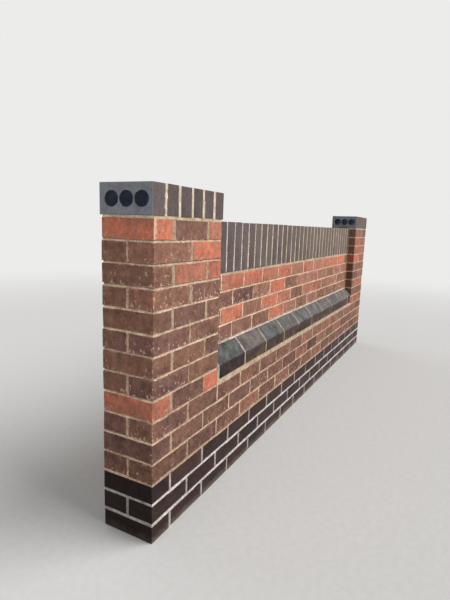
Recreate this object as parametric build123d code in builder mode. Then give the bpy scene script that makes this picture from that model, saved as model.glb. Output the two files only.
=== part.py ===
from build123d import *
import os

# Brick garden wall: one bay between two piers, with a recessed panel over a canted course.
# The origin is at ground level under the middle of the wall. X runs along the wall from
# the near pier to the far pier, -Y faces the street and +Z is up. Sizes are in millimetres.

# One brick and its mortar joints
brick_length = 215.0
brick_width = 102.5
brick_height = 65.0
bed_joint = 10.0
perpend = 10.0
worn_arris = 2.0  # how far the edges of the hard blue bricks have worn round

# Bricks along the wall and courses up it
pier_bricks = 2
bay_bricks = 11
plinth_courses = 3
base_courses = 3
cant_courses = 2  # courses of the pier that the canted course takes up, with its beds
pier_courses = 12

# Canted course: long blue specials that slope back from the wall face to the panel
cant_bed = 28.0
cant_length = 250.0
cant_face = 59.0  # upright part of the front, below the slope
cant_joint = 14.0
first_cant_joint = 22.0  # wide joint against the near pier
first_cant_length = 234.0  # the unit beside the near pier is cut short
least_cant_length = 40.0  # a shorter gap at the far pier is left to mortar
panel_bed = 12.0  # mortar between the canted course and the panel
collar_joint = 10.0  # mortar between the street side units and the garden side ones
joint_recess = 2.0  # mortar of the blue courses lies this far behind their faces

# Soldier course: blue bricks on end along the top of the panel
soldier_bed = 15.0
soldier_rise = 5.0  # how far the soldiers stand above the top of the pier shafts

# Coping: blue bricks on edge across each pier, perforated ones at the ends
coping_bed = 10.0
coping_overhang = 8.0
hole_diameter = 54.0
hole_spacing = 61.0
hole_count = 3

# Lengths that follow from the bond
stretcher_step = brick_length + perpend
course_step = brick_height + bed_joint
wall_thickness = brick_length
panel_thickness = brick_width
panel_setback = (wall_thickness - panel_thickness) / 2
pier_length = pier_bricks * stretcher_step - perpend
bay_length = bay_bricks * stretcher_step + perpend
pier_offset = (bay_length + pier_length) / 2
bay_start = -bay_length / 2
bay_end = bay_length / 2

# Levels: the wall rises in whole courses to the panel, and the soldiers hang from the pier tops
plinth_top = plinth_courses * course_step
base_top = plinth_top + base_courses * course_step - bed_joint
cant_bottom = base_top + cant_bed
panel_bottom = plinth_top + (base_courses + cant_courses) * course_step
cant_top = panel_bottom - panel_bed
shaft_top = plinth_top + pier_courses * course_step - bed_joint
coping_bottom = shaft_top + coping_bed
soldier_bottom = shaft_top + soldier_rise - brick_length
panel_top = soldier_bottom - soldier_bed

# Units of the canted course and the mortar joints beside them, both as (start, length).
# The units next to the piers are cut, and whole ones fill the bay between them.
cant_units = []
cant_joints = []
joint_start = bay_start
unit_start = bay_start + first_cant_joint
unit_length = first_cant_length
while unit_length >= least_cant_length:
    cant_joints.append((joint_start, unit_start - joint_start))
    cant_units.append((unit_start, unit_length))
    joint_start = unit_start + unit_length
    unit_start = joint_start + cant_joint
    unit_length = min(cant_length, bay_end - cant_joint - unit_start)
cant_joints.append((joint_start, bay_end - joint_start))

# Soldiers fill the bay, with what is left shared out among their joints
soldier_count = int((bay_length - perpend) // (brick_height + perpend))
soldier_joint = (bay_length - soldier_count * brick_height) / (soldier_count + 1)
soldier_step = brick_height + soldier_joint

# Coping bricks cover the pier and its overhangs in the same way
coping_length = pier_length + 2 * coping_overhang
coping_count = int((coping_length + perpend) // (brick_height + perpend))
coping_joint = (coping_length - coping_count * brick_height) / (coping_count - 1)
coping_step = brick_height + coping_joint


def cant_outline(recess):
    """Corners of a street side unit on the YZ plane, set back all over by a recess."""
    front = -wall_thickness / 2 + recess
    crest = -wall_thickness / 2 + panel_setback + recess
    back = -collar_joint / 2
    return [
        (front, cant_bottom),
        (back, cant_bottom),
        (back, cant_top),
        (crest, cant_top),
        (front, cant_bottom + cant_face),
    ]


def save(builder, name):
    builder.part.label = name
    export_step(builder.part, "parts/" + name + ".step")


os.makedirs("parts", exist_ok=True)

# Piers: a blue plinth, a red shaft, a mortar bed and a brick-on-edge coping
for pier_name, pier_x in (("near", -pier_offset), ("far", pier_offset)):
    with BuildPart() as pier_plinth:
        with BuildSketch(Plane.XY):
            with Locations((pier_x, 0)):
                Rectangle(pier_length, wall_thickness)
        extrude(amount=plinth_top)
    save(pier_plinth, pier_name + "_pier_plinth")

    with BuildPart() as pier_shaft:
        with BuildSketch(Plane.XY.offset(plinth_top)):
            with Locations((pier_x, 0)):
                Rectangle(pier_length, wall_thickness)
        extrude(amount=shaft_top - plinth_top)
    save(pier_shaft, pier_name + "_pier_shaft")

    with BuildPart() as pier_bed:
        with BuildSketch(Plane.XY.offset(shaft_top)):
            with Locations((pier_x, 0)):
                Rectangle(pier_length, wall_thickness)
        extrude(amount=coping_bed)
    save(pier_bed, pier_name + "_coping_bed")

    first_brick_x = pier_x - coping_length / 2
    for index in range(coping_count):
        brick_x = first_brick_x + index * coping_step
        brick_plane = Plane.YZ.offset(brick_x)
        with BuildPart() as coping_brick:
            with BuildSketch(brick_plane):
                with Locations((0, coping_bottom + brick_width / 2)):
                    Rectangle(wall_thickness, brick_width)
            extrude(amount=brick_height)
            upright_arrises = coping_brick.edges().filter_by(Axis.Z)
            top_arrises = coping_brick.edges().group_by(Axis.Z)[-1]
            fillet(upright_arrises + top_arrises, radius=worn_arris)
            if index in (0, coping_count - 1):
                with BuildSketch(brick_plane):
                    with Locations((0, coping_bottom + brick_width / 2)):
                        with GridLocations(hole_spacing, brick_width, hole_count, 1):
                            Circle(hole_diameter / 2)
                extrude(amount=brick_height, mode=Mode.SUBTRACT)
        save(coping_brick, pier_name + "_coping_brick_" + str(index + 1))

    with BuildPart() as coping_joints:
        for index in range(coping_count - 1):
            joint_x = first_brick_x + index * coping_step + brick_height
            with BuildSketch(Plane.YZ.offset(joint_x)):
                with Locations((0, coping_bottom + (brick_width - joint_recess) / 2)):
                    Rectangle(wall_thickness - 2 * joint_recess, brick_width - joint_recess)
            extrude(amount=coping_joint)
    save(coping_joints, pier_name + "_coping_joints")

# Lower wall between the piers: blue plinth courses, then red courses flush with them
with BuildPart() as base_plinth:
    with BuildSketch(Plane.XY):
        Rectangle(bay_length, wall_thickness)
    extrude(amount=plinth_top)
save(base_plinth, "base_plinth")

with BuildPart() as base_brickwork:
    with BuildSketch(Plane.XY.offset(plinth_top)):
        Rectangle(bay_length, wall_thickness)
    extrude(amount=base_top - plinth_top)
save(base_brickwork, "base_brickwork")

with BuildPart() as cant_mortar_bed:
    with BuildSketch(Plane.XY.offset(base_top)):
        Rectangle(bay_length, wall_thickness)
    extrude(amount=cant_bed)
save(cant_mortar_bed, "cant_bed")

# Canted course: the street side is drawn, and the garden side mirrors it
with BuildPart() as street_cants:
    for start, length in cant_units:
        with BuildSketch(Plane.YZ.offset(start)):
            Polygon(*cant_outline(0), align=None)
        extrude(amount=length)
    front_arrises = street_cants.edges().filter_by(Axis.X).group_by(Axis.Y)[0]
    fillet(front_arrises.group_by(Axis.Z)[-1], radius=worn_arris)
save(street_cants, "street_cant_course")

with BuildPart() as garden_cants:
    add(mirror(street_cants.part, about=Plane.XZ, mode=Mode.PRIVATE))
save(garden_cants, "garden_cant_course")

with BuildPart() as street_cant_joints:
    for start, length in cant_joints:
        with BuildSketch(Plane.YZ.offset(start)):
            Polygon(*cant_outline(joint_recess), align=None)
        extrude(amount=length)
save(street_cant_joints, "street_cant_joints")

with BuildPart() as garden_cant_joints:
    add(mirror(street_cant_joints.part, about=Plane.XZ, mode=Mode.PRIVATE))
save(garden_cant_joints, "garden_cant_joints")

with BuildPart() as cant_core:
    with BuildSketch(Plane.XY.offset(cant_bottom)):
        Rectangle(bay_length, collar_joint)
    extrude(amount=cant_top - cant_bottom)
save(cant_core, "cant_core")

# Recessed panel, half a brick thick, and its mortar beds
with BuildPart() as panel_mortar_bed:
    with BuildSketch(Plane.XY.offset(cant_top)):
        Rectangle(bay_length, panel_thickness)
    extrude(amount=panel_bed)
save(panel_mortar_bed, "panel_bed")

with BuildPart() as panel_brickwork:
    with BuildSketch(Plane.XY.offset(panel_bottom)):
        Rectangle(bay_length, panel_thickness)
    extrude(amount=panel_top - panel_bottom)
save(panel_brickwork, "panel_brickwork")

with BuildPart() as soldier_mortar_bed:
    with BuildSketch(Plane.XY.offset(panel_top)):
        Rectangle(bay_length, panel_thickness)
    extrude(amount=soldier_bed)
save(soldier_mortar_bed, "soldier_bed")

# Soldier course: bricks on end, with a mortar joint on both sides of each
with BuildPart() as soldiers:
    with BuildSketch(Plane.XY.offset(soldier_bottom)):
        with GridLocations(soldier_step, panel_thickness, soldier_count, 1):
            Rectangle(brick_height, panel_thickness)
    extrude(amount=brick_length)
    chamfer(soldiers.edges().group_by(Axis.Z)[-1], length=worn_arris)
save(soldiers, "soldier_course")

with BuildPart() as soldier_joints:
    with BuildSketch(Plane.XY.offset(soldier_bottom)):
        with GridLocations(soldier_step, panel_thickness, soldier_count + 1, 1):
            Rectangle(soldier_joint, panel_thickness - 2 * joint_recess)
    extrude(amount=brick_length - joint_recess)
save(soldier_joints, "soldier_joints")
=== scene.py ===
import math
import random

import bpy
from mathutils import Euler, Matrix, Vector


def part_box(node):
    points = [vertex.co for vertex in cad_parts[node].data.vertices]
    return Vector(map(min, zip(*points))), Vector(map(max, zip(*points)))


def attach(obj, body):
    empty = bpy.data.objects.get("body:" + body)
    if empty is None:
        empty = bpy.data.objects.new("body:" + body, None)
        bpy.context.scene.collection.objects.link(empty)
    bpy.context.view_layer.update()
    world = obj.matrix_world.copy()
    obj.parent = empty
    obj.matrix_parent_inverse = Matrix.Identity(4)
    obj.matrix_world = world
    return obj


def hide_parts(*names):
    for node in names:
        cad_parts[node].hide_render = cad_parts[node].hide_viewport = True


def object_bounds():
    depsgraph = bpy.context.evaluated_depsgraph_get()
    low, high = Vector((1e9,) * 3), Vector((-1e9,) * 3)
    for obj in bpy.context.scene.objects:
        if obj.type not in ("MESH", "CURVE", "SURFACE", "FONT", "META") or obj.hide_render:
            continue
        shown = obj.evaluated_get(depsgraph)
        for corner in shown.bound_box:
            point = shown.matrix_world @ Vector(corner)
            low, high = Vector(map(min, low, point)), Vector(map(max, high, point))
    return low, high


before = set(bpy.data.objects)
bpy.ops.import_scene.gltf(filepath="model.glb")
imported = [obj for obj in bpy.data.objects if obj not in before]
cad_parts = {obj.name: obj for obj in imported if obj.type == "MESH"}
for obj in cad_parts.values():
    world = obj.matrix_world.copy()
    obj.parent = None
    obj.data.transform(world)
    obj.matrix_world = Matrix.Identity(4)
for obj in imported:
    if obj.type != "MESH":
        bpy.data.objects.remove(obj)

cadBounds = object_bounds()
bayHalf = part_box("base_brickwork")[1].x
hair = 0.001  # places that are closer than this count as one
print("frame loaded,", len(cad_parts), "nodes")


# Bricks and the joints between them

brickwork = {
    "length": 0.215,
    "width": 0.1025,
    "height": 0.065,
    "joint": 0.010,
    "lap": 0.0015,  # of the mortar into the bricks beside it
    "swell": (0.0015, 0.0, 0.0015),  # how much longer and higher than its size a facing brick is
    "plinthSwell": (0.0, 0.0, 0.0),
    "soldierSwell": (0.0022, 0.0, 0.0),
    "copingSwell": (0.0038, 0.0, 0.0),
    "arris": 0.0011,  # width of the worn edges
    "unevenness": 0.0014,  # how far the faces stray
    "blueArris": 0.0012,
    "blueUnevenness": 0.0005,
    "versions": 6,  # worn versions of each shape
    "lengthCuts": 3,  # rings of edges across its length
    "widthCuts": 1,
    "askew": 0.34,  # degrees that a brick may be turned
    "astray": (0.0012, 0.00036, 0.00096),  # how far it may lie out of its place
    "setBack": 0.0016,  # how much thinner than its width it may be
    "seeds": 9.0,  # the seeds of their patterns are drawn from 0 to this
}
courseStep = brickwork["height"] + brickwork["joint"]


# Shader helpers

class Wire:  # a shader socket that takes part in plain arithmetic
    def __init__(self, finish, socket):
        self.finish = finish
        self.socket = socket

    def maths(self, operation, *values):
        return self.finish.add("ShaderNodeMath", {"operation": operation}, dict(enumerate(values)))

    def __add__(self, other):
        return self.maths("ADD", self, other)

    def __radd__(self, other):
        return self.maths("ADD", other, self)

    def __sub__(self, other):
        return self.maths("SUBTRACT", self, other)

    def __rsub__(self, other):
        return self.maths("SUBTRACT", other, self)

    def __mul__(self, other):
        return self.maths("MULTIPLY", self, other)

    def __rmul__(self, other):
        return self.maths("MULTIPLY", other, self)

    def size(self):
        return self.maths("ABSOLUTE", self)

    def part(self):  # what is over a whole number
        return self.maths("FRACT", self)

    def atLeast(self, other):
        return self.maths("MAXIMUM", self, other)

    def atMost(self, other):
        return self.maths("MINIMUM", self, other)

    def rise(self, low, high):  # 0 below low, 1 above high and smooth between
        return self.finish.add("ShaderNodeMapRange", {"interpolation_type": "SMOOTHSTEP"},
                               {"Value": self, "From Min": low, "From Max": high})

    def fall(self, low, high):  # the other way round
        return 1.0 - self.rise(low, high)


class Finish:  # one material, or the world, and the nodes in it
    def __init__(self, owner):
        self.owner = owner
        owner.use_nodes = True
        self.tree = owner.node_tree
        self.tree.nodes.clear()

    def add(self, kind, settings, inputs, output=0):
        node = self.tree.nodes.new(kind)
        for key, value in settings.items():
            if key == "stops":
                self.setStops(node.color_ramp, value)
            else:
                setattr(node, key, value)
        for key, value in inputs.items():
            self.feed(node.inputs[key], value)
        if len(node.outputs):
            return Wire(self, node.outputs[output])

    def setStops(self, ramp, stops):
        while len(ramp.elements) < len(stops):
            ramp.elements.new(1.0)
        for element, (position, colour) in zip(ramp.elements, stops):
            element.position = position
            element.color = colour

    def feed(self, socket, value):
        if isinstance(value, Wire):
            self.tree.links.new(value.socket, socket)
        else:
            socket.default_value = value

    def mix(self, amount, first, second):  # from the first colour to the second
        return self.add("ShaderNodeMix", {"data_type": "RGBA"}, {0: amount, 6: first, 7: second}, 2)

    def tint(self, colour, amount):  # a colour made lighter or darker
        return self.add("ShaderNodeVectorMath", {"operation": "SCALE"}, {0: colour, "Scale": amount})

    def vector(self, operation, *vectors):
        return self.add("ShaderNodeVectorMath", {"operation": operation}, dict(enumerate(vectors)))

    def split(self, vector):
        return [self.add("ShaderNodeSeparateXYZ", {}, {0: vector}, axis) for axis in range(3)]

    def noise(self, where, scale, detail=3.0):  # with one scale, or one for each axis
        if isinstance(scale, tuple):
            where = self.vector("MULTIPLY", where, scale)
            scale = 1.0
        return self.add("ShaderNodeTexNoise", {}, {"Vector": where, "Scale": scale, "Detail": detail})

    def waver(self, where, scale, detail=3.0):  # noise about zero
        return self.noise(where, scale, detail) - 0.5

    def spot(self):
        return self.add("ShaderNodeTexCoord", {}, {}, "Object")

    def normal(self):
        return self.add("ShaderNodeNewGeometry", {}, {}, "Normal")

    def ramp(self, value, stops):
        return self.add("ShaderNodeValToRGB", {"stops": stops}, {0: value})

    def attribute(self, name, output):
        return self.add("ShaderNodeAttribute", {"attribute_name": name}, {}, output)

    def bump(self, height, strength, distance):
        values = {"Height": height, "Strength": strength, "Distance": distance}
        return self.add("ShaderNodeBump", {}, values)

    def close(self, sockets):  # the surface shader and the material's output
        shader = self.add("ShaderNodeBsdfPrincipled", {}, sockets)
        self.add("ShaderNodeOutputMaterial", {}, {"Surface": shader})
        return self.owner


def paint(red, green, blue):  # a screen colour, 0 to 255, as a shader colour
    linear = []
    for level in (red, green, blue):
        share = level / 255
        linear.append(share / 12.92 if share <= 0.04045 else ((share + 0.055) / 1.055) ** 2.4)
    return (*linear, 1.0)


def addUp(terms, weights, total=0.0):  # adds the named terms, each by its weight
    for name, weight in weights.items():
        total = total + terms[name] * weight
    return total


def acrossWall(finish):  # 1 on the faces that lie across the wall
    return finish.split(finish.normal())[0].size().rise(0.5, 0.8)


# Every brick carries its own coordinates, half its size and its tone: the kind of brick,
# how light it is, a seed for its pattern and how many pale flecks it has, with 1 added
# where its upright arrises are chipped.

patternStride = (13.1, 7.7, 5.3)  # from the pattern of one seed to that of the next


def brickFacts(finish):
    place = finish.attribute("brickPlace", "Vector")
    half = finish.attribute("brickHalf", "Vector")
    kind, light, seed = finish.split(finish.attribute("brickTone", "Color"))
    flecks = finish.attribute("brickTone", "Alpha")
    shift = finish.add("ShaderNodeCombineXYZ", {}, {axis: seed * patternStride[axis] for axis in range(3)})
    depths = finish.split(finish.vector("SUBTRACT", half, finish.vector("ABSOLUTE", place)))
    inner = depths[0].atMost(depths[1])
    outer = depths[0].atLeast(depths[1])
    return {
        "place": finish.split(place),  # from the middle of the brick
        "pattern": finish.vector("ADD", place, shift),
        "kind": kind,
        "light": light,
        "flecks": flecks.part(),
        "chipped": flecks.rise(0.98, 1.0),
        "depths": depths,  # below each pair of faces
        "upright": outer,  # distance from the nearest upright arris
        "arris": inner.atLeast(outer.atMost(depths[2])),  # distance from the nearest arris
    }


# Facing bricks

# A pattern has a scale, or one along, across and up the brick, and a detail. A mark fades
# between two values of its pattern or two distances from an arris, and its cover says how
# strongly it hides the brick.

facingLook = {
    "kinds": [  # from dark purple through brown and red to bright orange
        (0.00, paint(98, 74, 68)),
        (0.18, paint(124, 90, 82)),
        (0.36, paint(133, 97, 81)),
        (0.55, paint(149, 107, 90)),
        (0.74, paint(168, 112, 93)),
        (0.92, paint(189, 116, 92)),
        (1.00, paint(198, 117, 90)),
    ],
    "patterns": {
        "patches": (15.0, 3.0),
        "blotches": ((90.0, 90.0, 75.0), 3.0),
        "drag": ((110.0, 110.0, 18.0), 2.0),
        "grain": (230.0, 3.0),
        "ragged": (95.0, 3.0),
    },
    "stains": {"shift": (5.0, 2.0, 4.0), "scale": 38.0},
    "kindBy": {"patches": 0.6, "blotches": 0.2},  # what moves the kind of brick within one brick
    "lightBy": {"stains": 1.0, "blotches": 0.5, "drag": 0.2, "grain": 0.9},  # and how light it is
    "flecks": {"colour": paint(212, 178, 160), "scale": (80.0, 80.0, 66.0), "detail": 4.0,
               "fade": (0.715, 0.78), "cover": 0.72},
    "flecksBy": {"low": 0.09, "edge": 0.02, "many": 0.10},  # where they crowd
    "lowFrom": 0.4,  # the flecks lie mostly on the lower half of a face
    "lowSlope": 14.0,
    "edge": (0.002, 0.014),
    "pits": {"colour": paint(78, 58, 50), "shift": (3.0, 1.0, 2.0), "scale": 150.0, "detail": 2.0,
             "fade": (0.62, 0.74), "cover": 0.45},
    "chafing": {"ragged": 0.02, "fade": (0.001, 0.012), "cover": 0.8, "lighter": 1.45},
    "chafedBricks": (0.3, 0.8),  # those with many flecks
    "chafedPatches": (-0.02, 0.10),
    "chips": {"colour": paint(232, 190, 168), "ragged": 0.03, "fade": (0.007, 0.019), "cover": 0.85},
    "smears": {"colour": paint(204, 178, 152), "ragged": 0.017, "fade": (-0.0006, 0.0012), "cover": 0.65},
    "film": {"scale": 26.0, "fade": (0.50, 0.80), "cover": 0.14},
    # painted shade on the faces of the piers beside the panel
    "returns": {"colour": paint(128, 104, 94), "fade": (0.01, 0.02), "cover": 0.3, "darker": 0.29},
    "relief": {"drag": 0.4, "grain": 0.4, "blotches": 0.9, "pits": -0.6},
    "pitRims": (0.62, 0.76),
    "bump": (0.8, 0.0020),
    "roughness": 0.9,
    "shine": 0.1,
}


def makeFacing():
    look = facingLook
    finish = Finish(bpy.data.materials.new("facing brick"))
    brick = brickFacts(finish)
    pattern = brick["pattern"]
    terms = {name: finish.waver(pattern, *scales) for name, scales in look["patterns"].items()}
    stains = look["stains"]
    terms["stains"] = finish.waver(finish.vector("ADD", pattern, stains["shift"]), stains["scale"])
    body = finish.ramp(addUp(terms, look["kindBy"], brick["kind"]), look["kinds"])
    body = finish.tint(body, addUp(terms, look["lightBy"], brick["light"]))

    flecks = look["flecks"]
    terms["low"] = (look["lowFrom"] - brick["place"][2] * look["lowSlope"]).atLeast(0.0)
    terms["edge"] = brick["arris"].fall(*look["edge"])
    terms["many"] = brick["flecks"]
    marks = addUp(terms, look["flecksBy"], finish.noise(pattern, flecks["scale"], flecks["detail"]))
    body = finish.mix(marks.rise(*flecks["fade"]) * flecks["cover"], body, flecks["colour"])
    pits = look["pits"]
    pitted = finish.noise(finish.vector("ADD", pattern, pits["shift"]), pits["scale"], pits["detail"])
    body = finish.mix(pitted.rise(*pits["fade"]) * pits["cover"], body, pits["colour"])

    chafing = look["chafing"]
    chafed = (brick["arris"] + terms["ragged"] * chafing["ragged"]).fall(*chafing["fade"])
    chafed = chafed * brick["flecks"].rise(*look["chafedBricks"])
    chafed = chafed * terms["patches"].rise(*look["chafedPatches"])
    body = finish.mix(chafed * chafing["cover"], body, finish.tint(body, chafing["lighter"]))
    chips = look["chips"]
    across = acrossWall(finish)
    corner = (1.0 - across) * brick["place"][0].fall(-hair, hair)  # the near end of the long faces
    chipped = (brick["upright"] + terms["ragged"] * chips["ragged"]).fall(*chips["fade"])
    chipped = chipped * brick["chipped"] * corner
    body = finish.mix(chipped * chips["cover"], body, chips["colour"])
    smears = look["smears"]
    smeared = (brick["arris"] + terms["ragged"] * smears["ragged"]).fall(*smears["fade"])
    body = finish.mix(smeared * smears["cover"], body, smears["colour"])
    film = finish.noise(pattern, look["film"]["scale"]).rise(*look["film"]["fade"])
    body = finish.mix(film * look["film"]["cover"], body, smears["colour"])

    returns = look["returns"]  # painted shade on the faces of the piers beside the panel: a duller colour and a darker tint
    along = finish.split(finish.spot())[0].size()
    returnShade = across * along.fall(*(bayHalf + margin for margin in returns["fade"]))
    body = finish.mix(returnShade * returns["cover"], body, returns["colour"])
    body = finish.tint(body, 1.0 - returnShade * returns["darker"])
    terms["pits"] = pitted.rise(*look["pitRims"])
    return finish.close({
        "Base Color": body,
        "Roughness": look["roughness"],
        "Specular IOR Level": look["shine"],
        "Normal": finish.bump(addUp(terms, look["relief"]), *look["bump"]),
    })


# Blue bricks: the plinth, the coping with the soldiers, and the canted course

# All have the same patterns, and each kind has a colouring of its own on some of its faces, with painted
# shade on the foot of the dressed bricks, the ends of the plinth and inside the perforations.

blueLook = {
    "patterns": {
        "clouds": (20.0, 3.0),
        "blotches": (75.0, 3.0),
        "grain": (380.0, 3.0),
    },
    "warmClouds": 1.2,
    "mottle": {"blotches": 0.8, "grain": 1.0},
    "specks": {"scale": 160.0, "fade": (0.64, 0.76), "cover": 0.35},
    "pits": {"fade": (0.26, 0.36), "darker": 0.4},
    "ragged": 0.008,
    "wornEdge": (-0.0006, 0.0020),
    "sheen": 0.25,  # how much the clouds change the roughness
    "relief": {"clouds": 0.5, "blotches": 0.5, "grain": 0.3},
    "bump": (0.6, 0.0014),
}
plinthLook = {
    "face": paint(51, 37, 36),
    "warm": paint(62, 45, 40),
    "speck": paint(90, 76, 72),
    "dust": {"colour": paint(150, 136, 118), "ragged": 0.07, "fade": (0.0, 0.035), "cover": 0.35},
    "mottle": 1.8,
    "cloudy": 0.6,
    "roughness": 0.5,
    "shine": 0.1,
    "wear": 0.2,
    "ends": 0.43,  # painted shade: how light the faces across the wall are beside those along it
}
dressedLook = {
    "face": paint(106, 93, 92),
    "warm": paint(113, 98, 86),
    "speck": paint(150, 140, 134),
    "bed": {"colour": paint(130, 135, 143), "depth": (0.0006, 0.0022), "clouds": (-0.10, 0.25),
            "cover": 0.5},
    # painted shade along the lower edge of each face
    "foot": {"fade": (0.0, 0.005), "darker": 0.3},
    "mottle": 0.85,
    "cloudy": 0.5,
    "roughness": 0.65,
    "shine": 0.12,
    "wear": 0.35,
    "ends": 1.0,
}
cantLook = {
    "face": paint(58, 47, 44),
    "warm": paint(72, 57, 47),
    "speck": paint(140, 132, 126),
    "slope": {"colour": paint(88, 89, 88), "warm": paint(99, 91, 88), "clouds": 1.5,
              "facing": (0.25, 0.55)},
    "stain": {"colour": paint(100, 78, 56), "ragged": 0.06, "fade": (-0.052, -0.020),
              "clouds": (-0.10, 0.12), "least": 0.2, "most": 0.7},
    "mottle": 1.8,
    "cloudy": 1.3,
    "roughness": 0.65,
    "shine": 0.12,
    "wear": 0.4,
    "ends": 1.0,
}
holeLook = {
    "face": paint(120, 128, 146),
    "warm": paint(124, 128, 142),
    "speck": paint(118, 120, 126),
    "depth": (-0.034, 0.030),  # from the mouth of a hole to its back
    # painted shade at the mouth of a hole
    "mouth": 0.36,
    "deeper": 0.98,  # painted light: how much lighter the back is, where less light comes
    # painted light on the walls that face up
    "upward": 0.3,
    "mottle": 0.3,
    "cloudy": 0.5,
    "roughness": 0.8,
    "shine": 0.1,
    "wear": 0.0,
    "ends": 1.0,
}


def dustFoot(finish, brick, terms, body):  # dust splashed up from the ground
    dust = plinthLook["dust"]
    height = finish.split(finish.spot())[2]
    splashed = (height + terms["blotches"] * dust["ragged"]).fall(*dust["fade"])
    return finish.mix(splashed * dust["cover"], body, dust["colour"])


def colourBeds(finish, brick, terms, body):  # the bed faces, and painted shade along the foot of the others
    bed = dressedLook["bed"]
    foot = dressedLook["foot"]
    bedFace = finish.mix(terms["clouds"].rise(*bed["clouds"]) * bed["cover"], bed["colour"],
                         dressedLook["face"])
    body = finish.mix(brick["depths"][0].fall(*bed["depth"]), body, bedFace)
    low = (brick["depths"][2] + brick["place"][2].atLeast(0.0)).fall(*foot["fade"])
    return finish.tint(body, 1.0 - low * foot["darker"])


def colourSlope(finish, brick, terms, body):  # the slope, and stains low on the upright face
    slope = cantLook["slope"]
    stain = cantLook["stain"]
    low = (brick["place"][2] + terms["blotches"] * stain["ragged"]).fall(*stain["fade"])
    stained = low * terms["clouds"].rise(*stain["clouds"])
    stained = stained * (brick["kind"] + stain["least"]).atMost(stain["most"])
    body = finish.mix(stained, body, stain["colour"])
    warmth = brick["kind"] + terms["clouds"] * slope["clouds"]
    facing = finish.split(finish.normal())[2].rise(*slope["facing"])
    return finish.mix(facing, body, finish.mix(warmth, slope["colour"], slope["warm"]))


def evenHoles(finish, brick, terms, body):  # painted shade and light inside the holes: darkest at the mouth, lighter at the back and where the walls face up, so that a hole looks evenly dark
    upward = finish.split(finish.normal())[2]
    deep = brick["place"][0].rise(*holeLook["depth"])
    body = finish.tint(body, holeLook["mouth"] + deep * holeLook["deeper"])
    return finish.tint(body, 1.0 + upward * holeLook["upward"])


def makeBlue(name, look, colourFaces):
    finish = Finish(bpy.data.materials.new(name))
    brick = brickFacts(finish)
    pattern = brick["pattern"]
    terms = {key: finish.waver(pattern, *scales) for key, scales in blueLook["patterns"].items()}
    clouds = terms["clouds"]
    body = finish.mix(brick["kind"] + clouds * blueLook["warmClouds"], look["face"], look["warm"])
    body = colourFaces(finish, brick, terms, body)
    mottle = addUp(terms, blueLook["mottle"], clouds * look["cloudy"])
    body = finish.tint(body, brick["light"] + mottle * look["mottle"])
    specks = finish.noise(pattern, blueLook["specks"]["scale"])
    speckled = specks.rise(*blueLook["specks"]["fade"]) * blueLook["specks"]["cover"]
    body = finish.mix(speckled, body, look["speck"])
    pitted = specks.fall(*blueLook["pits"]["fade"])
    body = finish.tint(body, 1.0 - pitted * blueLook["pits"]["darker"])
    # painted shade on the faces across the wall, by how far ends lies below 1
    body = finish.tint(body, 1.0 - acrossWall(finish) * (1.0 - look["ends"]))
    worn = (brick["arris"] + terms["blotches"] * blueLook["ragged"]).fall(*blueLook["wornEdge"])
    body = finish.mix(worn * look["wear"], body, look["speck"])
    return finish.close({
        "Base Color": body,
        "Roughness": look["roughness"] + clouds * blueLook["sheen"],
        "Specular IOR Level": look["shine"],
        "Normal": finish.bump(addUp(terms, blueLook["relief"]), *blueLook["bump"]),
    })


# Mortar

# Each has its sand, how light it is on faces across the wall, which is painted light above 1 and painted
# shade below 1, and how patchy it is. Where it has a shade, the tops of its bed joints get that much painted
# shadow, and their feet get painted light.

mortars = {
    "buff": {"sand": (202, 174, 151), "ends": 1.24, "patchy": 1.0, "shade": 0.9},
    "panel buff": {"sand": (215, 184, 158), "ends": 1.22, "patchy": 1.0, "shade": 0.9},
    "panel bed": {"sand": (219, 198, 180), "ends": 1.22, "patchy": 0.9, "shade": 0.75},
    "upright": {"sand": (188, 162, 137), "ends": 1.22, "patchy": 1.0},
    "plinth": {"sand": (216, 207, 202), "ends": 0.66, "patchy": 1.3},
    "plinth upright": {"sand": (182, 170, 162), "ends": 0.80, "patchy": 1.0},
    "coping": {"sand": (206, 188, 160), "ends": 1.60, "patchy": 0.5},
    "near coping joint": {"sand": (228, 211, 188), "ends": 1.22, "patchy": 0.6},
    "far coping joint": {"sand": (158, 146, 132), "ends": 1.22, "patchy": 0.6},
    "soldier": {"sand": (210, 195, 177), "ends": 1.22, "patchy": 0.8},
    "cant": {"sand": (180, 168, 148), "ends": 1.22, "patchy": 1.0},
    "cant bed": {"sand": (200, 178, 154), "ends": 1.22, "patchy": 0.8},
}
mortarLook = {
    "patterns": {
        "clouds": (26.0, 3.0),
        "lumps": (150.0, 3.0),
        "grit": (700.0, 2.0),
        "worn": (55.0, 2.0),
    },
    "damp": -26,  # how much darker than its sand the damp patches are
    "dampFade": (-0.15, 0.15),
    "pale": 24,
    "paleFade": (0.0, 0.22),
    "paleCover": 0.7,
    "wear": {"worn": 0.9, "grit": 0.5, "lumps": 0.7, "hollows": -0.3},
    "hollows": (-0.22, -0.08),
    "litFoot": 0.26,  # painted light: how much lighter the foot of a bed joint is
    "litFootFade": (0.1, 0.5),  # shares of its height
    "shaded": paint(104, 88, 60),  # painted shadow at its top, under the brick above
    "shadedFade": (0.50, 0.92),
    "relief": {"lumps": 0.8, "grit": 0.3},
    "bump": (0.8, 0.0016),
    "roughness": 0.95,
    "shine": 0.1,
}


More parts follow.
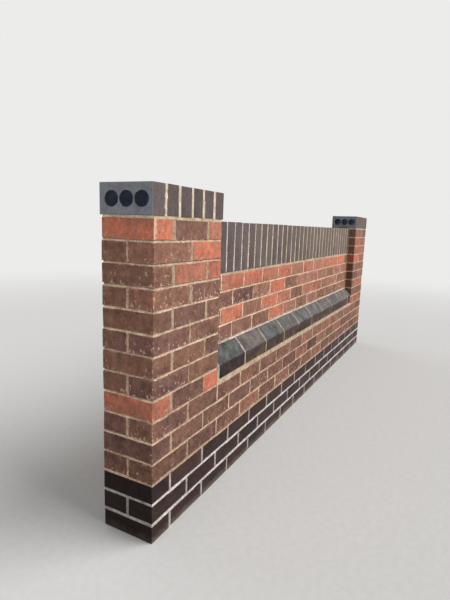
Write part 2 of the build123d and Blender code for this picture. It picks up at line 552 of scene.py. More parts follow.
def makeMortar(name):
    own = mortars[name]
    look = mortarLook
    sand = paint(*own["sand"])
    damp = paint(*(level + look["damp"] for level in own["sand"]))
    pale = paint(*(level + look["pale"] for level in own["sand"]))
    finish = Finish(bpy.data.materials.new(name + " mortar"))
    spot = finish.spot()
    terms = {key: finish.waver(spot, *scales) for key, scales in look["patterns"].items()}
    body = finish.mix(terms["clouds"].rise(*look["dampFade"]), damp, sand)
    body = finish.mix(terms["lumps"].rise(*look["paleFade"]) * look["paleCover"], body, pale)
    terms["hollows"] = terms["lumps"].fall(*look["hollows"])
    body = finish.tint(body, 1.0 + addUp(terms, look["wear"]) * own["patchy"])
    # painted light on the faces across the wall where ends is above 1, painted shade where it is below 1
    body = finish.tint(body, 1.0 + acrossWall(finish) * (own["ends"] - 1.0))
    if "shade" in own:
        # painted shadow at the top of each bed joint, under the brick above, and painted light at its foot
        level = (finish.split(spot)[2] * (1.0 / courseStep)).part() * courseStep - brickwork["height"]
        share = level * (1.0 / brickwork["joint"])
        body = finish.mix(share.rise(*look["shadedFade"]) * own["shade"], body, look["shaded"])
        body = finish.tint(body, 1.0 + share.fall(*look["litFootFade"]) * look["litFoot"])
    return finish.close({
        "Base Color": body,
        "Roughness": look["roughness"],
        "Specular IOR Level": look["shine"],
        "Normal": finish.bump(addUp(terms, look["relief"]), *look["bump"]),
    })


facingBrick = makeFacing()
plinthBrick = makeBlue("plinth blue brick", plinthLook, dustFoot)
dressedBrick = makeBlue("dressed blue brick", dressedLook, colourBeds)
cantBrick = makeBlue("cant blue brick", cantLook, colourSlope)
holeWall = makeBlue("perforation wall", holeLook, evenHoles)
mortarOf = {name: makeMortar(name) for name in mortars}
print("materials made")


# Modelling helpers

modelling = {
    "sharpAngle": 30,  # degrees: edges sharper than this are worn
    "smoothAngle": 38,  # and flatter ones than this are shaded smooth
    "ofItsLength": 0.9,  # share of its length that an edge along an axis has on it
}


def deselect():
    bpy.ops.object.select_all(action="DESELECT")


def addBlock(low, high):
    deselect()
    size = Vector(high) - Vector(low)
    middle = (Vector(high) + Vector(low)) / 2
    bpy.ops.mesh.primitive_cube_add(size=1.0, location=middle, scale=size)
    bpy.ops.object.transform_apply(location=True, rotation=True, scale=True)
    return bpy.context.active_object


def selectEdges(block, wanted):  # leaves the block in edit mode with only those edges selected
    bpy.ops.object.mode_set(mode="EDIT")
    bpy.ops.mesh.select_mode(type="EDGE")
    bpy.ops.mesh.select_all(action="DESELECT")
    bpy.ops.object.mode_set(mode="OBJECT")
    for edge in block.data.edges:
        edge.select = wanted(*(block.data.vertices[index].co for index in edge.vertices))
    bpy.ops.object.mode_set(mode="EDIT")


def cutAlong(block, axis, cuts):  # rings of edges across an axis, evenly spaced
    share = modelling["ofItsLength"]
    selectEdges(block, lambda first, second: abs((second - first)[axis]) > share * (second - first).length)
    bpy.ops.mesh.subdivide(number_cuts=cuts)
    bpy.ops.object.mode_set(mode="OBJECT")


def wearArrises(width):
    bpy.ops.object.mode_set(mode="EDIT")
    bpy.ops.mesh.select_mode(type="EDGE")
    bpy.ops.mesh.select_all(action="DESELECT")
    bpy.ops.mesh.edges_select_sharp(sharpness=math.radians(modelling["sharpAngle"]))
    bpy.ops.mesh.bevel(offset=width, segments=1, affect="EDGES")
    bpy.ops.object.mode_set(mode="OBJECT")


def roughen(offset, seed):
    bpy.ops.object.mode_set(mode="EDIT")
    bpy.ops.mesh.select_mode(type="VERT")
    bpy.ops.mesh.select_all(action="SELECT")
    bpy.ops.transform.vertex_random(offset=offset, uniform=1.0, seed=seed)
    bpy.ops.object.mode_set(mode="OBJECT")


def keepInside(piece, low, high):
    for vertex in piece.data.vertices:
        for axis in range(3):
            vertex.co[axis] = min(max(vertex.co[axis], low[axis]), high[axis])


def joinPieces(pieces):
    deselect()
    for piece in pieces:
        piece.select_set(True)
    bpy.context.view_layer.objects.active = pieces[0]
    if len(pieces) > 1:
        bpy.ops.object.join()
    return pieces[0]


def finishPiece(pieces, name, nodes):
    piece = joinPieces(pieces)
    keepInside(piece, *cadBounds)
    bpy.ops.object.shade_smooth_by_angle(angle=math.radians(modelling["smoothAngle"]))
    piece.name = name
    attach(piece, "root")
    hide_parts(*nodes)


# Bricks: each shape is modelled once in a few worn versions, and then copied

wholeSize = (brickwork["length"], brickwork["width"], brickwork["height"])
acrossSize = (brickwork["width"], brickwork["length"], brickwork["height"])
halfSize = (brickwork["width"], brickwork["width"], brickwork["height"])
onEndSize = (brickwork["height"], brickwork["width"], brickwork["length"])
onEdgeSize = (brickwork["height"], brickwork["length"], brickwork["width"])


def modelBrick(size, arris, unevenness, seed):
    high = Vector(size) / 2
    brick = addBlock(-high, high)
    for axis in range(3):
        if size[axis] == brickwork["length"]:
            cutAlong(brick, axis, brickwork["lengthCuts"])
        elif size[axis] == brickwork["width"]:
            cutAlong(brick, axis, brickwork["widthCuts"])
    wearArrises(arris)
    roughen(unevenness, seed)
    keepInside(brick, -high, high)
    return brick


def modelVersions(size, arris, unevenness, swell, material):
    versions = []
    for number in range(brickwork["versions"]):
        brick = modelBrick(size, arris, unevenness, number + 1)
        brick.data.transform(Matrix.Diagonal((*(1.0 + more / own for more, own in zip(swell, size)), 1.0)))
        brick.data.materials.append(material)
        versions.append(brick)
    return versions


facingShapes = {}
for size in (wholeSize, acrossSize, halfSize):
    facingShapes[size] = modelVersions(size, brickwork["arris"], brickwork["unevenness"],
                                       brickwork["swell"], facingBrick)
blueShapes = {}
for size, swell, material in ((wholeSize, "plinthSwell", plinthBrick),
                              (acrossSize, "plinthSwell", plinthBrick),
                              (onEndSize, "soldierSwell", dressedBrick),
                              (onEdgeSize, "copingSwell", dressedBrick)):
    blueShapes[size] = modelVersions(size, brickwork["blueArris"], brickwork["blueUnevenness"],
                                     brickwork[swell], material)
print("brick shapes modelled")


def addFacts(brick, half, tone):
    mesh = brick.data
    place = mesh.attributes.new("brickPlace", "FLOAT_VECTOR", "POINT")
    place.data.foreach_set("vector", [value for vertex in mesh.vertices for value in vertex.co])
    halves = mesh.attributes.new("brickHalf", "FLOAT_VECTOR", "POINT")
    halves.data.foreach_set("vector", list(half) * len(mesh.vertices))
    tones = mesh.attributes.new("brickTone", "FLOAT_COLOR", "POINT")
    tones.data.foreach_set("color", list(tone) * len(mesh.vertices))


def copyBrick(source, middle, tone, draws, squeeze=1.0):
    brick = bpy.data.objects.new("brick", source.data.copy())
    bpy.context.scene.collection.objects.link(brick)
    half = [max(vertex.co[axis] for vertex in source.data.vertices) for axis in range(3)]
    addFacts(brick, half, tone)
    turn = Euler([math.radians(draws.uniform(-1, 1) * brickwork["askew"]) for axis in range(3)])
    shift = Vector([draws.uniform(-1, 1) * most for most in brickwork["astray"]])
    thin = 1.0 - draws.random() * brickwork["setBack"] / brickwork["width"]
    brick.data.transform(Matrix.Translation(Vector(middle) + shift) @ turn.to_matrix().to_4x4()
                         @ Matrix.Diagonal((squeeze, thin, 1.0, 1.0)))
    return brick


# Bond: courses are numbered from the ground, and the lowest ones run through piers and bay

stretcherStep = brickwork["length"] + brickwork["joint"]
leaf = brickwork["joint"] / 2  # where the back half of a thick course starts
plinthCourses = round(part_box("base_plinth")[1].z / courseStep)
throughCourses = round(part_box("base_brickwork")[1].z / courseStep)
nearEnd, nearInner = (corner.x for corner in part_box("near_pier_shaft"))
farInner, farEnd = (corner.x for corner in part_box("far_pier_shaft"))
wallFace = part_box("base_brickwork")[1].y
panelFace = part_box("panel_brickwork")[1].y


def alongWall(x):  # 0 at the near end and 1 at the far end
    return (x - nearEnd) / (farEnd - nearEnd)


def courseAcross(start, end, course):  # a course one brick thick, with bricks laid across at its ends
    bricks = []
    if course % 2 == 0:
        bricks.append((start, -wallFace, acrossSize))
        bricks.append((end - brickwork["width"], -wallFace, acrossSize))
        start += brickwork["width"] + brickwork["joint"]
        end -= brickwork["width"] + brickwork["joint"]
    for index in range(round((end - start + brickwork["joint"]) / stretcherStep)):
        bricks.append((start + index * stretcherStep, -wallFace, wholeSize))
        bricks.append((start + index * stretcherStep, leaf, wholeSize))
    return bricks


def coursePanel(start, end, course):  # a course half a brick thick, and every other one starts with a half
    bricks = []
    if course % 2:
        bricks.append((start + brickwork["joint"], -panelFace, halfSize))
        bricks.append((end - brickwork["joint"] - brickwork["width"], -panelFace, halfSize))
        start += brickwork["width"] + brickwork["joint"]
        end -= brickwork["width"] + brickwork["joint"]
    for index in range(round((end - start - brickwork["joint"]) / stretcherStep)):
        bricks.append((start + brickwork["joint"] + index * stretcherStep, -panelFace, wholeSize))
    return bricks


def bricksOf(node, start, end, course):
    if node == "panel_brickwork":
        return sorted(coursePanel(start, end, course))
    if course >= throughCourses:
        return sorted(courseAcross(start, end, course))
    through = courseAcross(nearEnd, farEnd, course)
    return sorted(brick for brick in through if start < brick[0] + brick[2][0] / 2 < end)


# Tones of the bricks: those that catch the eye are listed one by one, and the others are drawn

kinds = {"dark": 0.02, "purple": 0.20, "brown": 0.36, "russet": 0.55, "red": 0.73, "orange": 0.84,
         "bright": 0.93, "vivid": 1.08}
standOut = {  # node and course, with the place along the street side from the near end
    ("near_pier_shaft", 14): {0: "orange", 1: "purple", 2: "red"},
    ("near_pier_shaft", 13): {0: "russet", 1: "bright"},
    ("near_pier_shaft", 12): {0: "brown", 1: "orange", 2: "bright"},
    ("near_pier_shaft", 11): {0: "russet", 1: "purple"},
    ("near_pier_shaft", 9): {0: "purple"},
    ("near_pier_shaft", 7): {0: "purple", 2: "purple"},
    ("near_pier_shaft", 6): {0: "orange", 1: "purple", 2: "vivid"},
    ("panel_brickwork", 11): {1: "orange", 2: "bright", 3: "red", 4: "bright", 5: "russet", 6: "bright",
                              7: "red", 8: "bright", 9: "bright", 10: "bright"},
    ("panel_brickwork", 10): {0: "brown", 1: "dark", 2: "russet", 3: "bright", 4: "brown", 6: "red"},
    ("panel_brickwork", 9): {1: "bright", 2: "russet", 3: "orange", 4: "orange", 6: "red"},
    ("panel_brickwork", 8): {0: "brown", 1: "brown", 2: "brown", 3: "bright", 5: "brown"},
    ("base_brickwork", 3): {1: "russet"},
    ("base_brickwork", 4): {6: "dark"},
    ("far_pier_shaft", 12): {1: "red", 2: "red"},
    ("far_pier_shaft", 11): {0: "bright", 1: "russet"},
    ("far_pier_shaft", 8): {1: "red", 2: "red"},
    ("far_pier_shaft", 7): {0: "brown", 1: "brown"},
    ("far_pier_shaft", 6): {0: "orange", 1: "red"},
}
shares = {  # how many of a hundred bricks are of each kind
    "near_pier_shaft": {"purple": 38, "brown": 62},
    "far_pier_shaft": {"purple": 8, "brown": 36, "russet": 46, "red": 10},
    "base_brickwork": {"purple": 22, "brown": 48, "russet": 30},
    "panel_brickwork": {"brown": 24, "russet": 62, "red": 14},
}
fleckLimit = {  # the most flecks that a brick has by chance
    "near_pier_shaft": 0.65,
    "far_pier_shaft": 0.65,
    "base_brickwork": 0.68,
    "panel_brickwork": 0.88,
}
marked = {  # bricks with many pale flecks, and from 1 up with chipped upright arrises
    ("near_pier_shaft", 14, 0): 1.15,
    ("near_pier_shaft", 13, 0): 0.3,
    ("near_pier_shaft", 12, 0): 0.8,
    ("near_pier_shaft", 11, 0): 0.7,
    ("near_pier_shaft", 11, 1): 0.9,
    ("near_pier_shaft", 7, 0): 0.7,
    ("panel_brickwork", 10, 1): 0.8,
    ("panel_brickwork", 10, 2): 0.8,
    ("panel_brickwork", 10, 6): 0.9,
    ("panel_brickwork", 9, 6): 0.8,
    ("panel_brickwork", 8, 6): 0.8,
    ("panel_brickwork", 11, 2): 0.7,
    ("base_brickwork", 4, 2): 0.9,
}
weather = {
    "facing": (0.93, 1.09),  # how light single bricks are
    "kindSpread": 0.06,
    "plinth": (0.88, 1.12),  # the same for the blue ones
    "plinthKinds": (-0.3, 1.3),
    "damp": 0.77,  # painted shade: how light the lowest facing course is
    "upwardLight": 0.026,  # how much lighter each course above it is, as the painted shade lifts
    "dust": 0.04,  # how much lighter the far end of the wall is
    "baseDust": 0.12,  # the same for the lower wall between the piers
    # painted sheen on the plinth, lighter towards the far end
    "plinthSheen": 0.15,
    "sheltered": 0.06,  # how much lighter the panel is
    "vivid": 0.18,  # how much lighter a vivid brick is
}


def facingTone(node, course, row, x, draws):
    share = shares[node]
    kind = draws.choices(list(share), list(share.values()))[0]
    kind = standOut.get((node, course), {}).get(row, kind)
    light = draws.uniform(*weather["facing"])
    if node == "panel_brickwork":
        light += weather["sheltered"]
    else:
        dust = weather["baseDust" if "base" in node else "dust"]
        # painted shade, darkest on the lowest course and less on each course above; the far end is lighter
        light += weather["damp"] - 1.0 + weather["upwardLight"] * (course - plinthCourses) + dust * alongWall(x)
    light += weather["vivid"] if kind == "vivid" else 0.0
    rarity = 2 if "pier" in node else 1  # many flecks are rarer on the piers
    usual = draws.random() ** rarity * fleckLimit[node]
    flecks = marked.get((node, course, row), usual)
    spread = weather["kindSpread"]
    return (kinds[kind] + draws.uniform(-spread, spread), light, draws.uniform(0, brickwork["seeds"]), flecks)


def plinthTone(x, draws):
    # painted sheen, lighter towards the far end
    dust = 1.0 + weather["plinthSheen"] * alongWall(x)
    return (draws.uniform(*weather["plinthKinds"]), draws.uniform(*weather["plinth"]) * dust,
            draws.uniform(0, brickwork["seeds"]), 0.0)


# Laying the bricks and their mortar

pointing = {
    "recess": 0.0016,  # of the mortar behind the face of the bricks
    "struck": 0.0022,  # how much further back the top of a bed joint lies than its foot
    "flush": 0.0007,  # recess of the joints between the blue bricks
    "step": 0.012,  # from one ring of edges to the next
    "unevenness": 0.0008,
    "flushUnevenness": 0.0003,
    "courseSeeds": 40,  # one for each upright joint of a course
    "leafSeed": 301,
    "bedSeed": 601,
}
cutShort = {  # courses of the near pier, and what is cut off the near ends of all bricks but the first
    14: (0.009, 0.006),
    13: (0.009,),
    12: (0.007, 0.008),
    11: (0.008,),
    10: (0.005, 0.007),
    9: (0.004,),
    8: (0.005,),
    6: (0.005,),
    4: (0.005,),
}


def cutOff(node, course, row):  # how much shorter than usual a brick is
    cuts = cutShort.get(course, ()) if node == "near_pier_shaft" else ()
    return cuts[row - 1] if 0 < row <= len(cuts) else 0.0


def layBricks(node, start, end, course, draws):
    bricks = []
    row = -1
    for x, y, size in bricksOf(node, start, end, course):
        onStreet = y < 0
        row += 1 if onStreet else 0
        if "plinth" in node:
            tone = plinthTone(x, draws)
            source = draws.choice(blueShapes[size])
        else:
            tone = facingTone(node, course, row if onStreet else None, x, draws)
            source = draws.choice(facingShapes[size])
        cut = cutOff(node, course, row)
        middle = Vector((x + cut / 2, y, course * courseStep)) + Vector(size) / 2
        bricks.append(copyBrick(source, middle, tone, draws, 1.0 - cut / size[0]))
    return bricks


def mortarStrip(low, high, material, seed, unevenness=pointing["unevenness"]):
    strip = addBlock(low, high)
    for axis in (0, 2):
        cuts = int((high[axis] - low[axis]) / pointing["step"])
        if cuts:
            cutAlong(strip, axis, cuts)
    roughen(unevenness, seed)
    strip.data.materials.append(material)
    return strip


def strikeBed(strip, top, ends):  # leans the joint back, so that water runs off the brick below
    for vertex in strip.data.vertices:
        if vertex.co.z > top:
            vertex.co.y -= math.copysign(pointing["struck"], vertex.co.y)
            if min(abs(vertex.co.x - end) for end in ends) < 2 * pointing["recess"]:
                vertex.co.x -= math.copysign(pointing["struck"], vertex.co.x)


def uprightMortar(node):
    if "plinth" in node:
        return mortarOf["plinth upright"]
    if "shaft" in node:
        return mortarOf["upright"]
    return mortarOf["panel buff" if "panel" in node else "buff"]


def bedMortar(node, course):  # the bed on top of the plinth has the mortar of the courses above it
    if course < plinthCourses - 1:
        return mortarOf["plinth"]
    if "pier_plinth" in node:
        return mortarOf["upright"]
    return mortarOf["panel buff" if "panel" in node else "buff"]


def layMortar(node, start, end, course, bed):  # the upright joints of a course, and the bed on it
    blue = "plinth" in node
    recess = pointing["flush" if blue else "recess"]
    unevenness = pointing["flushUnevenness" if blue else "unevenness"]
    depth = (panelFace if node == "panel_brickwork" else wallFace) - recess
    lap = brickwork["lap"]
    base = course * courseStep
    top = base + brickwork["height"]
    bricks = bricksOf(node, start, end, course)
    edges = sorted({(brick[0], brick[0] + brick[2][0]) for brick in bricks})
    gaps = [(first[1], second[0]) for first, second in zip(edges, edges[1:])]
    if edges[0][0] > start + leaf:
        gaps.append((edges[0][0] - brickwork["joint"], edges[0][0]))
    if edges[-1][1] < end - leaf:
        gaps.append((edges[-1][1], edges[-1][1] + brickwork["joint"]))
    strips = []
    for index, (low, high) in enumerate(gaps, 1):
        high += cutOff(node, course, index)
        strips.append(mortarStrip((low - lap, -depth, base - lap), (high + lap, depth, top + lap),
                                  uprightMortar(node), course * pointing["courseSeeds"] + index, unevenness))
    leaves = [brick for brick in bricks if brick[1] == leaf]
    if leaves:
        low = max(leaves[0][0], nearEnd + recess)
        high = min(leaves[-1][0] + brickwork["length"], farEnd - recess)
        strips.append(mortarStrip((low, -leaf - lap, base - lap), (high, leaf + lap, top + lap),
                                  uprightMortar(node), course + pointing["leafSeed"], unevenness))
    if bed:
        run = brickwork["joint"]  # beds of neighbouring pieces run into each other
        low = start + (recess if abs(start - nearInner) > hair else -run)
        high = end - (recess if abs(end - farInner) > hair else -run)
        strip = mortarStrip((low, -depth, top - lap), (high, depth, top + brickwork["joint"] + lap),
                            bedMortar(node, course), course + pointing["bedSeed"], unevenness)
        if not blue:
            strikeBed(strip, top + leaf, (start, end))
        strips.append(strip)
    return strips


masonry = ("near_pier_plinth", "base_plinth", "far_pier_plinth", "near_pier_shaft", "base_brickwork",
           "far_pier_shaft", "panel_brickwork")
for node in masonry:
    low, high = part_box(node)
    draws = random.Random(node)
    courses = range(round(low.z / courseStep), round(high.z / courseStep))
    bricks = []
    strips = []
    for course in courses:
        hasBed = (course + 1) * courseStep < high.z + hair
        bricks += layBricks(node, low.x, high.x, course, draws)
        strips += layMortar(node, low.x, high.x, course, hasBed)
    finishPiece(bricks, node + "_bricks", [node])
    finishPiece(strips, node + "_mortar", [node])
    print(node, "laid with", len(courses), "courses")


# Mortar beds that are nodes of their own

ownBeds = {  # the mortar of each, how far it lies back and its seed
    "near_coping_bed": ("coping", 0.0022, 11),
    "far_coping_bed": ("coping", 0.0022, 12),
    "soldier_bed": ("cant bed", 0.0022, 13),
    "cant_bed": ("cant bed", 0.0016, 14),
    "panel_bed": ("panel bed", 0.0010, 15),
}
for node, (mortar, recess, seed) in ownBeds.items():
    low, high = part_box(node)
    inset = Vector((recess if "coping" in node else 0.0, recess, 0.0))  # the ends of a coping show too
    lift = Vector((0.0, 0.0, brickwork["lap"]))
    bed = mortarStrip(low + inset - lift, high - inset + lift, mortarOf[mortar], seed)
    finishPiece([bed], node + "_mortar", [node])
print("beds laid")


# Coping: bricks on edge across each pier, and the end ones show their perforations

coping = {
    "count": 6,
    "kinds": (-0.3, 0.3),
    "lightness": (0.88, 1.10),
    "behind": {"near": 0.82, "far": 0.84},  # how light the bricks behind the first are beside it
    "holes": 3,
    "holeWidth": 0.057,
    "holeHeight": 0.0525,
    "holeStep": 0.061,
    "holeShift": -0.0035,  # of the row of holes towards the street
    "holeSides": 32,
    "holeUnevenness": 0.0009,
    "web": 0.003,  # left at the back of the holes
    "rim": 0.0006,  # width of the worn edges
    "rimAngle": 60,
    "thicker": 0.0022,  # how far the perforated bricks reach into their joint
}


def applyModifier(piece, kind, **settings):
    bpy.context.view_layer.objects.active = piece
    modifier = piece.modifiers.new(kind.lower(), kind)
    for key, value in settings.items():
        setattr(modifier, key, value)
    bpy.ops.object.modifier_apply(modifier=modifier.name)


def modelPerforated(size):  # its holes open towards -X
    high = Vector(size) / 2
    brick = addBlock(-high, high)
    brick.data.materials.append(dressedBrick)
    for index in range(coping["holes"]):
        y = (index - (coping["holes"] - 1) / 2) * coping["holeStep"] + coping["holeShift"]
        deselect()
        bpy.ops.mesh.primitive_cylinder_add(vertices=coping["holeSides"], radius=0.5, depth=size[0],
                                            location=(-coping["web"], y, 0.0),
                                            rotation=(0.0, math.pi / 2, 0.0),
                                            scale=(coping["holeHeight"], coping["holeWidth"], 1.0))
        cutter = bpy.context.active_object
        bpy.ops.object.transform_apply(location=True, rotation=True, scale=True)
        cutter.data.materials.append(holeWall)
        roughen(coping["holeUnevenness"], index + 1)
        cutter.data.transform(Matrix.Translation((-coping["web"], 0.0, 0.0)))
        applyModifier(brick, "BOOLEAN", object=cutter, operation="DIFFERENCE", solver="EXACT",
                      material_mode="TRANSFER")
        bpy.data.objects.remove(cutter)
    applyModifier(brick, "BEVEL", width=coping["rim"], segments=1, limit_method="ANGLE",
                  angle_limit=math.radians(coping["rimAngle"]))
    return brick


def layCopingBrick(pier, number, draws):
    node = f"{pier}_coping_brick_{number}"
    low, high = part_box(node)
    pale = coping["behind"][pier] if number > 1 else 1.0
    tone = (draws.uniform(*coping["kinds"]), draws.uniform(*coping["lightness"]) * pale,
            draws.uniform(0, brickwork["seeds"]), 0.0)
    atEnd = number in (1, coping["count"])
    source = perforated if atEnd else draws.choice(blueShapes[onEdgeSize])
    brick = copyBrick(source, Vector((0.0, 0.0, 0.0)), tone, draws)
    turned = Matrix.Rotation(math.pi if number == coping["count"] else 0.0, 4, "Z")
    inward = Matrix.Translation((coping["thicker"] / 2 if atEnd else 0.0, 0.0, 0.0))
    brick.data.transform(Matrix.Translation((low + high) / 2) @ turned @ inward)
    finishPiece([brick], node + "_worn", [node])


def copingJoint(pier, number):  # between this brick and the next
    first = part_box(f"{pier}_coping_brick_{number}")
    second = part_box(f"{pier}_coping_brick_{number + 1}")
    inset = Vector((brickwork["lap"], -pointing["flush"], 0.0))
    low = Vector((first[1].x, first[0].y, first[0].z)) - inset
    high = Vector((second[0].x, first[1].y, first[1].z - pointing["flush"])) + inset
    return mortarStrip(low, high, mortarOf[pier + " coping joint"], number, pointing["flushUnevenness"])


perforated = modelPerforated((brickwork["height"] + coping["thicker"], brickwork["length"],
                              brickwork["width"]))
for pier in ("near", "far"):
    draws = random.Random(pier + " coping")
    for number in range(1, coping["count"] + 1):
        layCopingBrick(pier, number, draws)
    strips = [copingJoint(pier, number) for number in range(1, coping["count"])]
    finishPiece(strips, f"{pier}_coping_joints_mortar", [f"{pier}_coping_joints"])
print("copings laid")


# Soldier course along the top of the panel

soldiers = {
    "count": 33,
    "lightness": (0.79, 0.94),
    "paler": 0.21,  # how much lighter the last one is than the first
    "warmth": 0.1,
    "warmer": 1.0,
    "warmthSpread": 0.3,
    "hang": 0.006,  # how far the first one reaches down into its bed
    "level": 20,  # how many reach into it, each less than the one before
}


def laySoldier(middle, top, index, draws):
    share = index / soldiers["count"]
    spread = soldiers["warmthSpread"]
    pale = draws.uniform(*soldiers["lightness"]) + soldiers["paler"] * share
    warmth = soldiers["warmth"] + soldiers["warmer"] * share + draws.uniform(-spread, spread)
    tone = (warmth, pale, draws.uniform(0, brickwork["seeds"]), 0.0)
    brick = copyBrick(draws.choice(blueShapes[onEndSize]), middle, tone, draws)
    hang = soldiers["hang"] * max(0.0, 1.0 - index / soldiers["level"])
    stretch = Matrix.Diagonal((1.0, 1.0, 1.0 + hang / brickwork["length"], 1.0))
    fixed = Matrix.Translation((0.0, 0.0, top))
    brick.data.transform(fixed @ stretch @ fixed.inverted())
    return brick


low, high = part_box("soldier_course")
draws = random.Random("soldiers")
pitch = (farInner - nearInner - soldiers["count"] * brickwork["height"]) / (soldiers["count"] + 1)
bricks = []
strips = []
for index in range(soldiers["count"] + 1):
    x = nearInner + index * (pitch + brickwork["height"])
    strips.append(mortarStrip((x - brickwork["lap"], low.y + pointing["flush"], low.z),
                              (x + pitch + brickwork["lap"], high.y - pointing["flush"],
                               high.z - pointing["flush"]), mortarOf["soldier"], index + 1,
                              pointing["flushUnevenness"]))
    if index < soldiers["count"]:
        middle = Vector((x + pitch + brickwork["height"] / 2, 0.0, (low.z + high.z) / 2))
        bricks.append(laySoldier(middle, high.z, index, draws))
finishPiece(bricks, "soldier_course_bricks", ["soldier_course"])
finishPiece(strips, "soldier_joints_mortar", ["soldier_joints"])
print("soldiers laid")


# Canted course: specials that slope back to the panel, on both sides of the wall

cants = {
    "length": 0.250,
    "joint": 0.014,
    "firstJoint": 0.022,
    "firstLength": 0.234,
    "leastLength": 0.040,
    "swell": 0.002,  # how much longer the units are than their size
    "drop": 0.004,  # how far they are pressed into their bed
    "stray": 0.009,  # how far the joint after the first unit is out of its place
    "tight": {4, 6, 8},  # joints that show on the slope only
    "tightDepth": 0.010,
    "tightMargin": 0.005,  # how near to the face a vertex is that lies back there
    "face": 0.059,  # upright part of the front
    "first": (-0.2, 0.84),  # kind and lightness of the first unit, which is the darkest
    "lightness": (0.96, 1.12),
    "paler": 0.025,  # how much lighter each unit is than the one before
    "ringStep": 0.05,
    "arris": 0.0018,
    "unevenness": 0.0006,
    "jointSeed": 20,
}
cantLow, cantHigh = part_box("street_cant_course")
cantLow.z -= cants["drop"]


def modelCant(length, recess, material, seed):
    low = Vector((-length / 2, cantLow.y + recess, cantLow.z))
    high = Vector((length / 2, cantHigh.y, cantHigh.z))
    unit = addBlock(low, high)
    brow = cantLow.z + cants["face"]
    bpy.ops.object.mode_set(mode="EDIT")
    bpy.ops.mesh.select_all(action="SELECT")
    bpy.ops.mesh.bisect(plane_co=(0.0, 0.0, brow), plane_no=(0.0, 0.0, 1.0))
    bpy.ops.object.mode_set(mode="OBJECT")
    selectEdges(unit, lambda first, second: all(end.z > high.z - hair and end.y < low.y + hair
                                                for end in (first, second)))
    bpy.ops.transform.translate(value=(0.0, wallFace - panelFace, 0.0))
    bpy.ops.object.mode_set(mode="OBJECT")
    cutAlong(unit, 0, max(1, int(length / cants["ringStep"])))
    if not recess:
        wearArrises(cants["arris"])
    roughen(cants["unevenness"], seed)
    keepInside(unit, low, high)
    unit.data.materials.append(material)
    return unit


def sinkFront(strip):  # pushes the upright part back between its neighbours
    front = cantLow.y + cants["tightMargin"]
    brow = cantLow.z + cants["face"] - cants["tightMargin"]
    for vertex in strip.data.vertices:
        if vertex.co.y < front and vertex.co.z < brow:
            vertex.co.y += cants["tightDepth"]


def shareBay():  # where units start and how long they are, and where joints start and end
    units = []
    joints = []
    jointStart = nearInner
    start = nearInner + cants["firstJoint"]
    length = cants["firstLength"]
    while length >= cants["leastLength"]:
        joints.append((jointStart, start))
        units.append((start, length))
        jointStart = start + length
        start = jointStart + cants["joint"]
        length = min(cants["length"], farInner - cants["joint"] - start)
    joints.append((jointStart, farInner))
    stray = cants["stray"]
    units[0] = (units[0][0], units[0][1] + stray)
    units[1] = (units[1][0] + stray, units[1][1] - stray)
    joints[1] = (joints[1][0] + stray, joints[1][1] + stray)
    return units, joints


def layCant(index, start, length, spin, draws):
    size = Vector((length + cants["swell"], cantHigh.y - cantLow.y, cantHigh.z - cantLow.z))
    unit = modelCant(size.x, 0.0, cantBrick, index + 1)
    middle = Vector((0.0, (cantLow.y + cantHigh.y) / 2, (cantLow.z + cantHigh.z) / 2))
    unit.data.transform(Matrix.Translation(-middle))
    if index:
        kind = draws.random()
        pale = draws.uniform(*cants["lightness"]) + cants["paler"] * index
    else:
        kind, pale = cants["first"]
    addFacts(unit, size / 2, (kind, pale, draws.uniform(0, brickwork["seeds"]), 0.0))
    place = Matrix.Translation((start + length / 2, 0.0, 0.0))
    unit.data.transform(place @ spin @ Matrix.Translation(middle))
    return unit


def cantJoint(index, low, high, spin):
    strip = modelCant(high - low + 2 * brickwork["lap"], pointing["recess"], mortarOf["cant"],
                      index + cants["jointSeed"])
    if index in cants["tight"]:
        sinkFront(strip)
    strip.data.transform(Matrix.Translation(((low + high) / 2, 0.0, 0.0)) @ spin)
    return strip


units, joints = shareBay()
for side, turned in (("street", 0.0), ("garden", math.pi)):
    draws = random.Random(side)
    spin = Matrix.Rotation(turned, 4, "Z")
    laid = [layCant(index, *unit, spin, draws) for index, unit in enumerate(units)]
    finishPiece(laid, f"{side}_cant_course_units", [f"{side}_cant_course"])
    laid = [cantJoint(index, *joint, spin) for index, joint in enumerate(joints)]
    finishPiece(laid, f"{side}_cant_joints_mortar", [f"{side}_cant_joints"])
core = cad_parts["cant_core"]
core.data.materials.clear()
core.data.materials.append(mortarOf["cant bed"])
print("canted course laid")

for versions in (*facingShapes.values(), *blueShapes.values(), [perforated]):
    for source in versions:  # all copies are laid
        bpy.data.objects.remove(source)


# Studio: a pale floor that fades into the backdrop, soft light and the camera

studio = {
    "floorSize": 60.0,
    "floorLow": paint(200, 199, 197),
    "floorHigh": paint(212, 211, 209),
    "floorGrain": 40.0,
    "backdrop": paint(236, 236, 235),
    "fadeStart": 3.0,
    "fadeEnd": 9.0,
    "fill": 0.31,  # strength of the light from all round
    "fillColour": (1.0, 1.0, 1.0, 1.0),
    "softness": 50.0,  # degrees
    "lamps": [  # where each comes from, and its strength
        ((0.35, -0.80, 0.90), 2.9),
        ((-0.90, 0.35, 0.50), 0.25),
        ((0.25, 0.90, 0.45), 0.60),
    ],
}


def makeFloor():
    finish = Finish(bpy.data.materials.new("floor"))
    spot = finish.spot()
    distance = finish.add("ShaderNodeVectorMath", {"operation": "LENGTH"}, {0: spot}, "Value")
    grain = finish.noise(spot, studio["floorGrain"])
    ground = finish.add("ShaderNodeBsdfDiffuse", {}, {
        "Color": finish.mix(grain, studio["floorLow"], studio["floorHigh"])})
    far = finish.add("ShaderNodeEmission", {}, {"Color": studio["backdrop"], "Strength": 1.0})
    fade = distance.rise(studio["fadeStart"], studio["fadeEnd"])
    surface = finish.add("ShaderNodeMixShader", {}, {0: fade, 1: ground, 2: far})
    finish.add("ShaderNodeOutputMaterial", {}, {"Surface": surface})
    return finish.owner


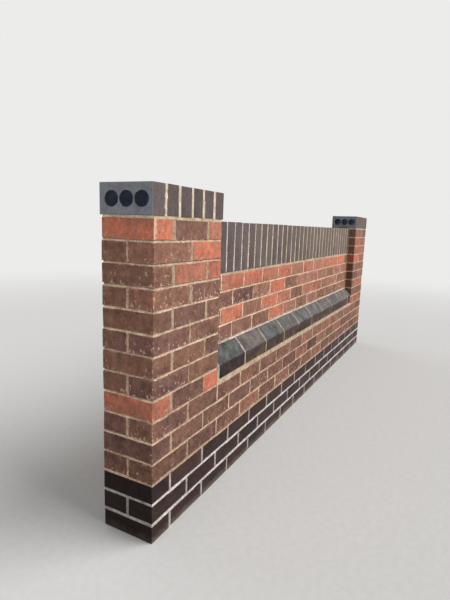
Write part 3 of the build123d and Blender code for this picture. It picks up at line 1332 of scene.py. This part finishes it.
def makeWorld():  # seen and mirrored as the backdrop, and a dimmer white for all other light
    finish = Finish(bpy.data.worlds.new("studio"))
    shown = finish.add("ShaderNodeLightPath", {}, {}, "Is Camera Ray")
    for kind in ("Is Glossy Ray", "Is Transmission Ray"):
        shown = shown.atLeast(finish.add("ShaderNodeLightPath", {}, {}, kind))
    lit = finish.add("ShaderNodeBackground", {}, {"Color": studio["fillColour"], "Strength": studio["fill"]})
    seen = finish.add("ShaderNodeBackground", {}, {"Color": studio["backdrop"]})
    surface = finish.add("ShaderNodeMixShader", {}, {0: shown, 1: lit, 2: seen})
    finish.add("ShaderNodeOutputWorld", {}, {"Surface": surface})
    return finish.owner


deselect()
bpy.ops.mesh.primitive_plane_add(size=studio["floorSize"], location=(0.0, 0.0, 0.0))
floor = bpy.context.active_object
floor.name = "floor"
floor.data.materials.append(makeFloor())
bpy.context.scene.world = makeWorld()

for comesFrom, strength in studio["lamps"]:
    lamp = bpy.data.lights.new("soft light", "SUN")
    lamp.energy = strength
    lamp.angle = math.radians(studio["softness"])
    sun = bpy.data.objects.new("soft light", lamp)
    sun.rotation_euler = Vector(comesFrom).to_track_quat("Z", "Y").to_euler()
    bpy.context.scene.collection.objects.link(sun)

view = {
    "place": (-2.8094, -0.9534, 1.0967),
    "yaw": 27.676,  # degrees from the wall's line towards the garden
    "down": 9.278,
    "roll": 1.949,
    "lens": 26.75,
    "sensor": 36.0,
    "clip": 0.05,
}
cameraData = bpy.data.cameras.new("camera")
cameraData.lens = view["lens"]
cameraData.sensor_width = view["sensor"]
cameraData.clip_start = view["clip"]
camera = bpy.data.objects.new("camera", cameraData)
aim = (Matrix.Rotation(math.radians(view["yaw"] - 90.0), 4, "Z")
       @ Matrix.Rotation(math.radians(90.0 - view["down"]), 4, "X")
       @ Matrix.Rotation(math.radians(view["roll"]), 4, "Z"))
camera.matrix_world = Matrix.Translation(view["place"]) @ aim
bpy.context.scene.collection.objects.link(camera)
bpy.context.scene.camera = camera
bpy.context.scene.view_settings.view_transform = "Standard"
print("studio set")
